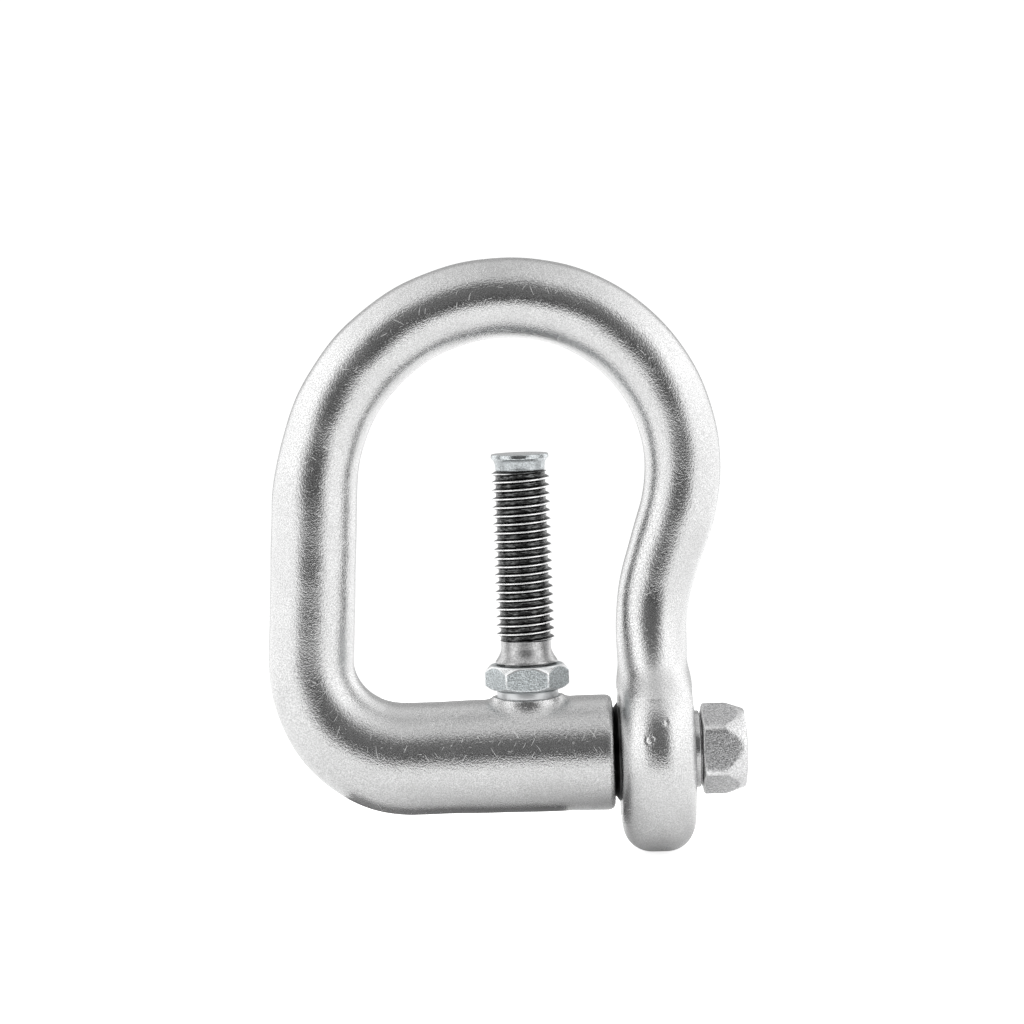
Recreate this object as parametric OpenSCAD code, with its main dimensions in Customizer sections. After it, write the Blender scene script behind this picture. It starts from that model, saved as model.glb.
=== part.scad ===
// Bow shackle: a forged bow closed by a hex bolt, with a clamp stud standing in its opening.
// Millimetres. X runs along the bolt, Z points from the lower arm up to the crown, and Y is the
// depth. The origin is the bearing point inside the crown, midway through the depth.

/* [Bow bar] */
// Diameter of the lower arm at its end face
arm_d = 24; // [22.6:0.1:25]
// Diameter of the lower arm where it runs into the bend
arm_root_d = 23.3; // [22:0.1:24.4]
// Length of the straight lower arm
arm_l = 41.5; // [40:0.5:46]
// Chamfer round the end face of the arm
arm_chamfer = 0.7; // [0.3:0.1:1.5]
// Centreline radius of the bend between the arm and the leg
bend_r = 20.5; // [18:0.5:24]
// Lean of the straight leg towards the crown, in degrees
leg_lean = 3.3; // [1:0.1:5]
// Length of the straight leg
leg_l = 31.5; // [26:0.5:36]
// Diameter of the straight leg
leg_d = 17.6; // [15:0.1:19]
// Diameter of the bar round the crown
crown_d = 16.5; // [14:0.1:18]
// Diameter of the bar above the eye
neck_d = 14.6; // [13:0.1:16]

/* [Bow arch] */
// Centreline radius of the arch beside the leg
shoulder_r = 57; // [45:1:65]
// Angle turned beside the leg, in degrees
shoulder_turn = 14; // [8:1:20]
// Centreline radius over the crown
crown_r = 40; // [38:0.5:42]
// Angle turned over the crown, in degrees
crown_turn = 78; // [72:1:84]
// Centreline radius of the arch above the eye
flank_r = 35.2; // [34:0.1:37]
// Inward slope of the bar below the arch, in degrees
inset_slope = 19; // [17:0.5:21]
// Centreline radius of the bend that turns the bar down into the eye
return_r = 42; // [38:1:46]

/* [Eye] */
// Outer diameter of the eye
eye_d = 41.8; // [38:0.2:44]
// Thickness of the eye along the bolt
eye_t = 15.2; // [14:0.1:17]
// Offset of the eye's middle from the neck, away from the arm
eye_offset = 0.3; // [0:0.1:1.5]
// Radius that rounds the eye's rim into its faces
eye_round = 6; // [5:0.25:7]
// Height above the bolt axis at which the neck starts to deepen
flare_top = 36; // [34:0.5:40]
// Height above the bolt axis at which the deepened neck runs into the eye's rim
flare_end = 13; // [11:0.5:14]

/* [Bolt] */
// Nominal thread diameter of the bolt and of the stud's lower end
fine_d = 10; // [8:0.5:10]
// Thread pitch of the bolt and of the stud's lower end
fine_pitch = 1.5; // [1:0.25:1.5]
// Turns of bolt thread held in the arm
bolt_turns = 7; // [4:1:7]
// Width of the bolt's hex head across its flats
head_af = 17; // [16:0.5:18]
// Length of the bolt's hex head
head_l = 10.1; // [7:0.1:11]
// Upward turn of the head's front flat, in degrees
head_turn = 5; // [0:1:30]
// Diameter of the washer under the head
head_washer_d = 16; // [15:0.5:18]
// Thickness of the washer under the head
head_washer_t = 1.4; // [1:0.1:2.5]
// Diameter of the spacer between the arm and the eye
spacer_d = 20.4; // [16:0.1:21]
// Thickness of the spacer, which is the gap between the arm and the eye
spacer_t = 1.3; // [1.2:0.1:2.5]

/* [Stud] */
// Distance of the stud's axis from the end face of the arm
stud_inset = 17.4; // [16.8:0.1:18.5]
// Nominal thread diameter of the stud's upper end
stud_d = 12; // [11:0.5:12]
// Length of the stud's upper thread
stud_thread_l = 35; // [28:0.5:38]
// Turns of the stud's lower thread held in the arm
stud_turns = 8; // [5:1:8]
// Diameter of the plain neck below the upper thread
stud_neck_d = 10.3; // [9.5:0.1:10.5]
// Diameter of the flared collar that bears on the jam nut
collar_d = 12.8; // [12:0.1:13.5]
// Height of the neck and its flared collar
collar_h = 4.7; // [4:0.1:6]
// Height of the flare alone
flare_h = 3; // [2:0.1:3.5]
// Width of the jam nut across its flats
nut_af = 15.2; // [14.5:0.1:17]
// Height of the jam nut
nut_h = 5; // [4:0.1:6]
// Outer diameter of the lock washer
lock_d = 12.9; // [12.5:0.1:15]
// Thickness of the lock washer
lock_t = 1.9; // [1.5:0.1:2.2]
// Diameter of the low boss that the lock washer sits on
boss_d = 14.4; // [13.5:0.1:16]

/* [Thrust pad] */
// Diameter of the pad's bearing face, over its flared rim
pad_d = 12; // [11:0.1:13]
// Diameter of the pad where it meets the stud
pad_root_d = 10.1; // [9.5:0.1:11]
// Height of the pad
pad_h = 3.4; // [3.2:0.1:4]
// Diameter of the stud's ball end
ball_d = 3.5; // [3:0.1:3.6]

/* [Hidden] */

fit = 0.05;          // radial clearance of a thread or shaft in its own hole
slack = 0.3;         // radial clearance of a washer round its shaft
gap = 0.1;           // clearance between faces that turn past each other
nut_gap = 0.4;       // room for the jam nut to back off under the collar
bar_sides = 24;      // sides of the swept bar
ring_turn = 6;       // degrees of bend from one ring of the swept bar to the next
flare_rings = 8;     // rings in each stretch where the neck deepens
flare_sink = 0.7;    // how far the deepened neck ends below the eye's rim
// The swept bar's flats lie as far inside the true round as its corners lie outside it.
bar_swell = sqrt(2 * PI / (bar_sides * sin(360 / bar_sides)));

fine_r = fine_d / 2;
bolt_grip = bolt_turns * fine_pitch;
bolt_hole_l = bolt_grip + gap * 4;
stud_grip = stud_turns * fine_pitch;
stud_hole_l = stud_grip + fine_pitch;

// The bar's centreline runs from the arm's end face, at x = 0 and z = 0, to the eye. A state is
// [x, z, heading]. A stretch is [length, turn, end diameter, rings, whether its depth flares].
function straight(len, d) = [len, 0, d, 1, false];
function curve(r, turn, d) = [r * abs(turn) * PI / 180, turn, d, ceil(abs(turn) / ring_turn), false];
function flared(run) = [run[0], run[1], run[2], flare_rings, true];
function signed_r(len, turn) = len * 180 / (PI * turn);
function moved(s, len, turn) =
    turn == 0 ? [s[0] + len * cos(s[2]), s[1] + len * sin(s[2]), s[2]]
    : let (r = signed_r(len, turn))
      [s[0] + r * (sin(s[2] + turn) - sin(s[2])), s[1] - r * (cos(s[2] + turn) - cos(s[2])), s[2] + turn];
function walked(s, run, i = 0) =
    i == len(run) ? [s] : concat([s], walked(moved(s, run[i][0], run[i][1]), run, i + 1));

start = [0, 0, 180];
bend_turn = 90 + leg_lean;
flank_turn = 180 - leg_lean + inset_slope - shoulder_turn - crown_turn;
arch = [
    straight(arm_chamfer, arm_d),
    straight(arm_l - arm_chamfer, arm_root_d),
    curve(bend_r, -bend_turn, leg_d),
    straight(leg_l, leg_d),
    curve(shoulder_r, -shoulder_turn, crown_d),
    curve(crown_r, -crown_turn, crown_d),
    curve(flank_r, -flank_turn, (crown_d + neck_d) / 2)
];
back = flared(curve(return_r, inset_slope, neck_d));

// The sloping stretch below the arch is as long as it takes to bring the neck over the eye.
eye_x = spacer_t + eye_t / 2;
loose_end = walked(start, concat(arch, [back]))[len(arch) + 1];
slope_l = (loose_end[0] - (eye_x - eye_offset)) / sin(inset_slope);
slope = straight(slope_l, neck_d + 0.4);
neck_z = loose_end[1] - slope_l * cos(inset_slope);
neck = flared(straight(neck_z - flare_end + 2, neck_d - 0.4));
route = concat(arch, [slope, back, neck]);
states = walked(start, route);

// The crown is the top of the arch's middle stretch.
crown_i = 5;
crown_start = states[crown_i];
crown_x = crown_start[0] + crown_r * sin(crown_start[2]);
crown_z = crown_start[1] + crown_r * (1 - cos(crown_start[2])) - crown_d / 2;

head_x = eye_x + eye_t / 2 + head_washer_t;
boss_top = arm_d / 2 + gap;
nut_z = boss_top + lock_t;
collar_z = nut_z + nut_h + nut_gap;
thread_z = collar_z + collar_h;
thread_top = thread_z + stud_thread_l;
pad_z = thread_top + 2 * gap;
ball_z = pad_z + 1.1;
stud_tip = boss_top - stud_grip;
tip_cut = 0.9;       // chamfer at the tip of a lower thread
thread_cut = 0.4;    // chamfer at the ends of the upper thread

// Everything is laid out from the arm's end face, then moved so that the crown is the origin.
module placed() { translate([-crown_x, 0, -crown_z]) children(); }
module on_bolt_axis(x) { translate([x, 0, 0]) rotate([0, 90, 0]) children(); }
module on_stud_axis(z) { translate([-stud_inset, 0, z]) children(); }

function eased(t) = t * t * (3 - 2 * t);
function ring(s, d, depth) = [for (i = [0:bar_sides - 1]) let (a = 360 * i / bar_sides, k = bar_swell / 2)
    [s[0] - sin(s[2]) * cos(a) * d * k, sin(a) * depth * k, s[1] + cos(s[2]) * cos(a) * d * k]];
// Half the bar's depth where the neck widens smoothly towards the rim of the eye.
function flare(half_d, height) =
    let (t = min(max((flare_top - height) / (flare_top - flare_end), 0), 1),
        rim = sqrt(pow(eye_d / 2, 2) - pow(flare_end, 2)),
        end_rise = flare_end / rim * (flare_top - flare_end),
        rise = rim - flare_sink - half_d)
    half_d + pow(t, 2) * (3 * rise - end_rise) + pow(t, 3) * (end_rise - 2 * rise);
function end_d(i) = i < 0 ? arm_d - 2 * arm_chamfer : route[i][2];
function ring_at(i, t) =
    let (d = end_d(i - 1) + (end_d(i) - end_d(i - 1)) * eased(t),
        s = moved(states[i], route[i][0] * t, route[i][1] * t))
    ring(s, d, route[i][4] ? 2 * flare(d / 2, s[1]) : d);

module bar() {
    rings = concat(
        [for (i = [0:len(route) - 1], j = [0:route[i][3] - 1]) ring_at(i, j / route[i][3])],
        [ring_at(len(route) - 1, 1)]);
    n = bar_sides;
    last = (len(rings) - 1) * n;
    walls = [for (k = [0:len(rings) - 2], i = [0:n - 1])
        [k * n + i, k * n + (i + 1) % n, (k + 1) * n + (i + 1) % n, (k + 1) * n + i]];
    near_cap = [for (i = [n - 1:-1:0]) i];
    far_cap = [for (i = [0:n - 1]) last + i];
    polyhedron([for (r = rings) each r], concat(walls, [near_cap, far_cap]));
}

// A hexagonal prism with its flats at the front. Each end's corners are turned off by [inwards, along].
module hex_body(af, h, low_cut, high_cut) {
    corner_r = af / sqrt(3);
    intersection() {
        cylinder(h = h, r = corner_r, $fn = 6);
        rotate_extrude($fn = 96) polygon([
            [0, 0], [corner_r - low_cut[0], 0], [corner_r, low_cut[1]], [corner_r, h - high_cut[1]],
            [corner_r - high_cut[0], h], [0, h]]);
    }
}

module ring_washer(d, bore_r, t, edge) {
    rotate_extrude($fn = 96) polygon([
        [bore_r, 0], [d / 2 - edge, 0], [d / 2, edge], [d / 2, t - edge], [d / 2 - edge, t], [bore_r, t]]);
}

// Forged bar and eye, drilled for the bolt and the stud.
module bow() {
    color("silver") placed() difference() {
        union() {
            bar();
            on_bolt_axis(eye_x - eye_t / 2) rotate_extrude($fn = 96) eye_half_section();
            on_stud_axis(0) cylinder(h = boss_top, d = boss_d, $fn = 64);
        }
        on_bolt_axis(-bolt_hole_l) cylinder(h = bolt_hole_l + 1, r = fine_r + fit, $fn = 64);
        on_bolt_axis(eye_x - eye_t) cylinder(h = 2 * eye_t, r = fine_r + slack, $fn = 64);
        on_stud_axis(boss_top - stud_hole_l) cylinder(h = stud_hole_l + 1, r = fine_r + fit, $fn = 64);
    }
}

// Half of the eye's section: flat faces rounded into the rim.
module eye_half_section() {
    rim_x = eye_d / 2 - eye_round;
    square([rim_x, eye_t]);
    for (y = [eye_round, eye_t - eye_round]) translate([rim_x, y]) circle(r = eye_round, $fn = 64);
    translate([rim_x - 1, eye_round]) square([eye_round + 1, eye_t - 2 * eye_round]);
}

// Dark washer that fills the gap between the arm and the eye, its arm side coned.
module spacer_washer() {
    cone = 0.9;
    color("dimgray") placed() on_bolt_axis(0) rotate_extrude($fn = 96) polygon([
        [fine_r + slack, 0], [spacer_d / 2 - cone, 0], [spacer_d / 2, cone], [spacer_d / 2, spacer_t],
        [fine_r + slack, spacer_t]]);
}

module bolt() {
    shank_l = head_x + bolt_grip;
    color("gainsboro") placed() {
        on_bolt_axis(head_x) rotate([0, 0, -head_turn]) hex_body(head_af, head_l, [0.6, 0.4], [1.5, 3.4]);
        on_bolt_axis(-bolt_grip) rotate_extrude($fn = 96) polygon([
            [0, 0], [fine_r - tip_cut, 0], [fine_r, tip_cut], [fine_r, shank_l + 1], [0, shank_l + 1]]);
    }
}

module head_washer() {
    color("lightgray") placed() on_bolt_axis(eye_x + eye_t / 2)
        ring_washer(head_washer_d, fine_r + slack, head_washer_t, 0.25);
}

// Turned stud: lower thread, flared collar, plain neck, upper thread and ball end.
module stud() {
    neck_r = stud_neck_d / 2;
    lip = 0.3;
    color("darkgray") placed() on_stud_axis(0) {
        rotate_extrude($fn = 96) polygon(concat(
            [[0, stud_tip], [fine_r - tip_cut, stud_tip], [fine_r, stud_tip + tip_cut],
             [fine_r, collar_z], [collar_d / 2, collar_z]],
            [for (t = [0:0.125:1]) [neck_r + (collar_d / 2 - neck_r) * pow(1 - t, 1.6),
                collar_z + lip + (flare_h - lip) * t]],
            [[neck_r, thread_z], [stud_d / 2 - thread_cut, thread_z], [stud_d / 2, thread_z + thread_cut],
             [stud_d / 2, thread_top - thread_cut], [stud_d / 2 - thread_cut, thread_top], [0, thread_top]]));
        translate([0, 0, ball_z]) sphere(d = ball_d, $fn = 48);
    }
}

module jam_nut() {
    color("lightsteelblue") placed() on_stud_axis(nut_z) difference() {
        hex_body(nut_af, nut_h, [1.1, 0.9], [1.2, 0.7]);
        translate([0, 0, -1]) cylinder(h = nut_h + 2, r = fine_r + fit, $fn = 64);
    }
}

// Spring washer, cut through at the back.
module lock_washer() {
    cut_w = 0.9;
    color("silver") placed() on_stud_axis(boss_top) difference() {
        ring_washer(lock_d, fine_r + slack, lock_t, 0.3);
        translate([0, lock_d / 2, 0]) rotate([0, 25, 0]) cube([cut_w, lock_d, 3 * lock_t], center = true);
    }
}

// Flared pad that swivels on the stud's ball.
module thrust_pad() {
    mouth_r = ball_d / 2 - 0.3;
    root_r = pad_root_d / 2;
    rim = 0.3;
    color("lightsteelblue") placed() on_stud_axis(pad_z) difference() {
        rotate_extrude($fn = 96) polygon([
            [0, 0], [root_r - rim, 0], [root_r, rim], [pad_d / 2, pad_h - rim], [pad_d / 2 - rim, pad_h],
            [0, pad_h]]);
        translate([0, 0, -1]) cylinder(h = ball_z - pad_z + 1, r = mouth_r, $fn = 48);
        translate([0, 0, ball_z - pad_z]) sphere(d = ball_d + 2 * fit, $fn = 48);
    }
}

bow();
spacer_washer();
bolt();
head_washer();
stud();
jam_nut();
lock_washer();
thrust_pad();
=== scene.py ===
"""A bow shackle in satin steel: a forged bow closed by a hex bolt, with a clamp stud and swivel pad."""

import math
from collections import namedtuple

import bpy
import numpy as np
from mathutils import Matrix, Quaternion, Vector


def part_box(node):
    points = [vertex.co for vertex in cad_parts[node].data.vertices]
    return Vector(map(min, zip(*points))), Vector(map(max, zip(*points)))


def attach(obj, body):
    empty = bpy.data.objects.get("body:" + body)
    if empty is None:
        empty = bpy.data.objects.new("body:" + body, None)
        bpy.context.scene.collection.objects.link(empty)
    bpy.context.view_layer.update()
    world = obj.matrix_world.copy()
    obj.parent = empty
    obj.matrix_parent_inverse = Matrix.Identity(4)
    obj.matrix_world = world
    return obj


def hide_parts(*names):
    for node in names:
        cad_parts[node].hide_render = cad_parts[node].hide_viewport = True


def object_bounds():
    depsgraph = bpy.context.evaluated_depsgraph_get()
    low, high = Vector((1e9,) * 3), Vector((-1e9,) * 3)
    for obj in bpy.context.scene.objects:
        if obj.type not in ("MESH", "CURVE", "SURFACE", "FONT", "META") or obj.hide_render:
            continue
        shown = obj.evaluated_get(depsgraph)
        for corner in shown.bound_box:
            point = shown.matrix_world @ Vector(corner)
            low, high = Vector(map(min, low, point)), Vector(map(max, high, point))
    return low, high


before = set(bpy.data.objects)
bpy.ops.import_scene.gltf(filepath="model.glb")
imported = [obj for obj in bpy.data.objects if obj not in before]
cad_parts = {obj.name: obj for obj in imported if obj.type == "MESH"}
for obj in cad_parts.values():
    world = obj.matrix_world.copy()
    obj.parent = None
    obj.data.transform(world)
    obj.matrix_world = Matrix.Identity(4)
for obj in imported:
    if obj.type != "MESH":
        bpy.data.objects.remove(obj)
cad_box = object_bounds()

MM = 0.001

# The CAD part gives the places: the arm's end face, the bolt's axis and the stud's axis.
ARM_FACE_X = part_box("spacer_washer")[0].x
BOLT_AXIS_Z = sum(corner.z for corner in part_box("head_washer")) / 2
STUD_AXIS_X = sum(corner.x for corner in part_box("stud")) / 2


def heights(node):
    """Lowest and highest point of a CAD node above the bolt's axis, in millimetres."""
    low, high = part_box(node)
    return (low.z - BOLT_AXIS_Z) / MM, (high.z - BOLT_AXIS_Z) / MM


def reaches(node):
    """How far a CAD node reaches from the arm's end face along the bolt, in millimetres."""
    low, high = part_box(node)
    return (low.x - ARM_FACE_X) / MM, (high.x - ARM_FACE_X) / MM


# ---------------------------------------------------------------------------------------------
# Meshes


def mesh_object(name, points, faces, normals=None):
    """A smooth-shaded object from points in millimetres, laid out from the arm's end face and bolt axis."""
    mesh = bpy.data.meshes.new(name)
    origin = np.array([ARM_FACE_X, 0, BOLT_AXIS_Z])
    mesh.from_pydata((points * MM + origin).tolist(), [], faces)
    mesh.polygons.foreach_set("use_smooth", np.ones(len(mesh.polygons), bool))
    mesh.update()
    if normals is not None:
        mesh.normals_split_custom_set_from_vertices(normals.tolist())
    made = bpy.data.objects.new(name, mesh)
    bpy.context.scene.collection.objects.link(made)
    return made


def rounded(corners, closed, segments=4):
    """A profile of (radius, height, rounding) corners as points, with an arc at each rounded corner."""
    count = len(corners)
    points = []
    for i, (r, z, rounding) in enumerate(corners):
        here = np.array([r, z], float)
        if rounding == 0 or (not closed and i in (0, count - 1)):
            points.append(here)
            continue
        before = np.array(corners[i - 1][:2], float) - here
        after = np.array(corners[(i + 1) % count][:2], float) - here
        before /= np.linalg.norm(before)
        after /= np.linalg.norm(after)
        half_angle = math.acos(np.clip(before @ after, -1, 1)) / 2
        reach = rounding / math.tan(half_angle)
        bisector = (before + after) / np.linalg.norm(before + after)
        centre = here + bisector * rounding / math.sin(half_angle)
        first, last = here + before * reach - centre, here + after * reach - centre
        turn = math.atan2(first[0] * last[1] - first[1] * last[0], first @ last)
        for step in range(segments + 1):
            a = turn * step / segments
            points.append(centre + [first[0] * math.cos(a) - first[1] * math.sin(a),
                                    first[0] * math.sin(a) + first[1] * math.cos(a)])
    return points


def angles(sides):
    return np.arange(sides) * 2 * math.pi / sides


def turned_rows(profile, sides):
    """Rows of (radius, height) round the axis for a profile's points."""
    return [(np.full(sides, float(r)), np.full(sides, float(z))) for r, z in profile]


def on_stud(radius, turn, height):
    x = (STUD_AXIS_X - ARM_FACE_X) / MM
    return np.stack([x + radius * np.cos(turn), radius * np.sin(turn), height], -1)


def on_bolt(radius, turn, height):
    return np.stack([height, radius * np.cos(turn), radius * np.sin(turn)], -1)


def revolved(name, rows, place, ring, turns=None):
    """Skins rows of (radius, height, perhaps how far the colour is lightened: partly wear, partly painted
    highlight) round an axis.

    A ring closes on itself, and another shape has flat caps."""
    turns = angles(len(rows[0][0])) if turns is None else turns
    points = np.concatenate([place(row[0], turns, row[1]) for row in rows])
    rub_sheen = np.concatenate([row[2] if len(row) > 2 else np.zeros(len(turns)) for row in rows])
    sides = len(turns)
    faces = []
    count = len(rows)
    for i in range(count if ring else count - 1):
        near, far = i * sides, (i + 1) % count * sides
        for j in range(sides):
            k = (j + 1) % sides
            faces.append((near + j, near + k, far + k, far + j))
    if not ring:
        faces.append(tuple(range(sides - 1, -1, -1)))
        faces.append(tuple(range((count - 1) * sides, count * sides)))
    made = mesh_object(name, points, faces)
    attribute = made.data.attributes.new("rub_sheen", "FLOAT", "POINT")
    attribute.data.foreach_set("value", rub_sheen.astype(np.float32))
    return made


# ---------------------------------------------------------------------------------------------
# The bow: a distance field of the bent bar, the eye and the boss, skinned with one smooth mesh

ARM_D, ARM_ROOT_D, ARM_L = 24, 23.3, 41.5
BEND_R, LEG_LEAN, LEG_L, LEG_D = 20.5, 3.3, 31.5, 17.6
SHOULDER_R, SHOULDER_TURN, CROWN_R, CROWN_TURN, CROWN_D = 57, 14, 40, 78, 16.5
FLANK_R, INSET_SLOPE, RETURN_R, NECK_D = 35.2, 19, 42, 14.6
EYE_D, EYE_OFFSET, EYE_ROUND, EYE_FRONT_ROUND = 41.8, 0.3, 6, 7.4
FLARE_TOP, FLARE_END, FLARE_SINK = 36, 13, 0.7
BOSS_D, FINE_R, FIT, SLACK = 13.4, 5, 0.05, 0.3
# How widely edges are rounded: the arm's end, the boss's top and foot, the neck's joint and the holes.
END_ROUND, BOSS_EDGE, BOSS_FOOT, EYE_JOINT, HOLE_EDGE = 1.6, 0.3, 2.4, 1.6, 0.35

EYE_FACES = (reaches("spacer_washer")[1], reaches("head_washer")[0])
EYE_X = sum(EYE_FACES) / 2
EYE_T = EYE_FACES[1] - EYE_FACES[0]
BOSS_TOP = heights("lock_washer")[0]
STUD_X = (STUD_AXIS_X - ARM_FACE_X) / MM

# A stretch of centreline: its start, heading, length and turn, the bar's diameter at both ends, the way
# travelled before it, and whether the bar's depth flares along it.
Stretch = namedtuple("Stretch", "x z heading length turn from_d to_d travelled flared")


def stepped(x, z, heading, length, turn):
    """The end of a stretch of centreline."""
    if turn == 0:
        return x + length * math.cos(heading), z + length * math.sin(heading), heading
    r = length / turn
    return (x + r * (math.sin(heading + turn) - math.sin(heading)),
            z - r * (math.cos(heading + turn) - math.cos(heading)), heading + turn)


def bar_route():
    """The centreline from the arm's end face, over the crown and down into the eye."""
    flank_turn = 180 - LEG_LEAN + INSET_SLOPE - SHOULDER_TURN - CROWN_TURN

    def arc(r, degrees, d):
        return r * math.radians(abs(degrees)), math.radians(degrees), d

    runs = [
        (ARM_L, 0, ARM_ROOT_D),
        arc(BEND_R, -90 - LEG_LEAN, LEG_D),
        (LEG_L, 0, LEG_D),
        arc(SHOULDER_R, -SHOULDER_TURN, CROWN_D),
        arc(CROWN_R, -CROWN_TURN, CROWN_D),
        arc(FLANK_R, -flank_turn, (CROWN_D + NECK_D) / 2),
    ]
    stretches = []
    state, d, travelled = (0, 0, math.pi), ARM_D, 0

    def add(length, turn, to_d, flared=False):
        nonlocal state, d, travelled
        stretches.append(Stretch(*state, length, turn, d, to_d, travelled, flared))
        state, d, travelled = stepped(*state, length, turn), to_d, travelled + length

    for run in runs:
        add(*run)
    last_bend = arc(RETURN_R, INSET_SLOPE, NECK_D)
    slope = math.radians(INSET_SLOPE)
    run_in = RETURN_R * (1 - math.cos(slope))
    slope_l = (state[0] - run_in - (EYE_X - EYE_OFFSET)) / math.sin(slope)
    add(slope_l, 0, NECK_D + 0.4)
    add(*last_bend, flared=True)
    add(state[1] - FLARE_END + 2, 0, NECK_D - 0.4, flared=True)
    return stretches


def nearest(stretch, p, open_start=False, open_end=False):
    """Offsets of points p along and across from the nearest centreline point, its share and its height."""
    if stretch.turn == 0:
        tangent = np.array([math.cos(stretch.heading), math.sin(stretch.heading)])
        share = ((p[:, 0] - stretch.x) * tangent[0] + (p[:, 2] - stretch.z) * tangent[1]) / stretch.length
        low, high = (-np.inf if open_start else 0), (np.inf if open_end else 1)
        held = np.clip(share, low, high)
        heading = np.full(len(p), stretch.heading)
        x = stretch.x + held * stretch.length * tangent[0]
        z = stretch.z + held * stretch.length * tangent[1]
    else:
        r = stretch.length / stretch.turn
        centre_x = stretch.x - r * math.sin(stretch.heading)
        centre_z = stretch.z + r * math.cos(stretch.heading)
        facing = np.arctan2((p[:, 0] - centre_x) / r, -(p[:, 2] - centre_z) / r)
        middle = stretch.heading + stretch.turn / 2
        turned = (facing - middle + math.pi) % (2 * math.pi) - math.pi + stretch.turn / 2
        held = np.clip(turned / stretch.turn, 0, 1)
        heading = stretch.heading + held * stretch.turn
        x = centre_x + r * np.sin(heading)
        z = centre_z - r * np.cos(heading)
    dx, dz = p[:, 0] - x, p[:, 2] - z
    along = dx * np.cos(heading) + dz * np.sin(heading)
    across = -dx * np.sin(heading) + dz * np.cos(heading)
    return along, across, held, z


def eased(t):
    t = np.clip(t, 0, 1)
    return t * t * (3 - 2 * t)


def flare(wide, height):
    """Half the bar's depth where the neck widens smoothly into the rim of the eye."""
    t = np.clip((FLARE_TOP - height) / (FLARE_TOP - FLARE_END), 0, 1)
    rim = math.sqrt((EYE_D / 2) ** 2 - FLARE_END ** 2)
    end_slope = FLARE_END / rim * (FLARE_TOP - FLARE_END)
    rise = rim - FLARE_SINK - wide
    return wide + t * t * (3 * rise - end_slope) + t ** 3 * (end_slope - 2 * rise)


def stretch_distance(stretch, p, open_start=False, open_end=False):
    """Distance of points from the bar's surface along one stretch, negative inside."""
    along, across, share, height = nearest(stretch, p, open_start, open_end)
    depth = p[:, 1]
    wide = (stretch.from_d + (stretch.to_d - stretch.from_d) * eased(share)) / 2
    if not stretch.flared:
        return np.sqrt(along ** 2 + across ** 2 + depth ** 2) - wide
    deep = flare(wide, height)
    flat = np.sqrt(along ** 2 + across ** 2)
    k = np.sqrt((flat / wide) ** 2 + (depth / deep) ** 2) + 1e-9
    slope = np.sqrt((flat / wide ** 2) ** 2 + (depth / deep ** 2) ** 2) + 1e-9
    away = k * (k - 1) / slope
    # The straight neck has no round cap above it: the bend before it is already there.
    return np.where((share <= 0) & (stretch.turn == 0), np.maximum(away, -along), away)


def merged(a, b, blend):
    """Union of two distance fields with a fillet."""
    h = np.clip(0.5 + 0.5 * (b - a) / blend, 0, 1)
    return b + (a - b) * h - blend * h * (1 - h)


def cut(a, b, blend):
    """Distance field a with b taken away, its edge rounded."""
    return -merged(-a, b, blend)


WAVE_H, RING_DEPTH, NICK_DEPTH, PIT_DEPTH = 0.022, 0.11, 0.13, 0.16


def unevenness(p):
    """The forging's faint waviness and a few knocks on its front, in millimetres."""
    x, y, z = p.T
    waves = np.sin(x / 1.9 + y / 2.6 + 1) + np.sin(y / 2.3 - z / 1.7) + np.sin(z / 2.9 + x / 3.7 + 2)
    front = y < 0
    off_ring = np.hypot(x - (EYE_X - 2.0), z - 5.0) - 0.75
    off_nick = np.hypot((x - (EYE_X + 1.4)) * 1.6, z - 8.4)
    off_pit = np.hypot(x + 2.0, z + 3.9)
    knocks = RING_DEPTH * np.exp(-(off_ring / 0.25) ** 2) + NICK_DEPTH * np.exp(-(off_nick / 0.5) ** 2)
    knocks += PIT_DEPTH * np.exp(-(off_pit / 0.35) ** 2)
    return WAVE_H * waves + np.where(front, knocks, 0)


ROUTE = bar_route()


def arm_distance(p):
    """The straight arm with the low boss that the stud's lock washer sits on."""
    bar = stretch_distance(ROUTE[0], p, open_start=True)
    arm = cut(bar, -p[:, 0], END_ROUND)
    boss = np.hypot(p[:, 0] - STUD_X, p[:, 1]) - BOSS_D / 2
    boss = cut(np.maximum(boss, -p[:, 2]), BOSS_TOP - p[:, 2], BOSS_EDGE)
    return merged(arm, boss, BOSS_FOOT)


def arch_distance(p):
    """The bar from the bend to the neck, which runs on down inside the eye."""
    neck = np.maximum(stretch_distance(ROUTE[-1], p, open_end=True), -p[:, 2])
    return np.min([stretch_distance(s, p) for s in ROUTE[1:-1]] + [neck], axis=0)


def eye_distance(p):
    """The eye: flat faces rounded into a rim, which is fuller at its foot than at its front."""
    from_axis = np.hypot(p[:, 1], p[:, 2])
    downward = -p[:, 2] / np.maximum(from_axis, 1)
    foot = eased((downward - 0.5) / 0.4)
    rounding = EYE_FRONT_ROUND + (EYE_ROUND - EYE_FRONT_ROUND) * foot
    out = from_axis - (EYE_D / 2 - rounding)
    aside = np.abs(p[:, 0] - EYE_X) - (EYE_T / 2 - rounding)
    within = np.minimum(np.maximum(out, aside), 0)
    return np.hypot(np.maximum(out, 0), np.maximum(aside, 0)) + within - rounding


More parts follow.
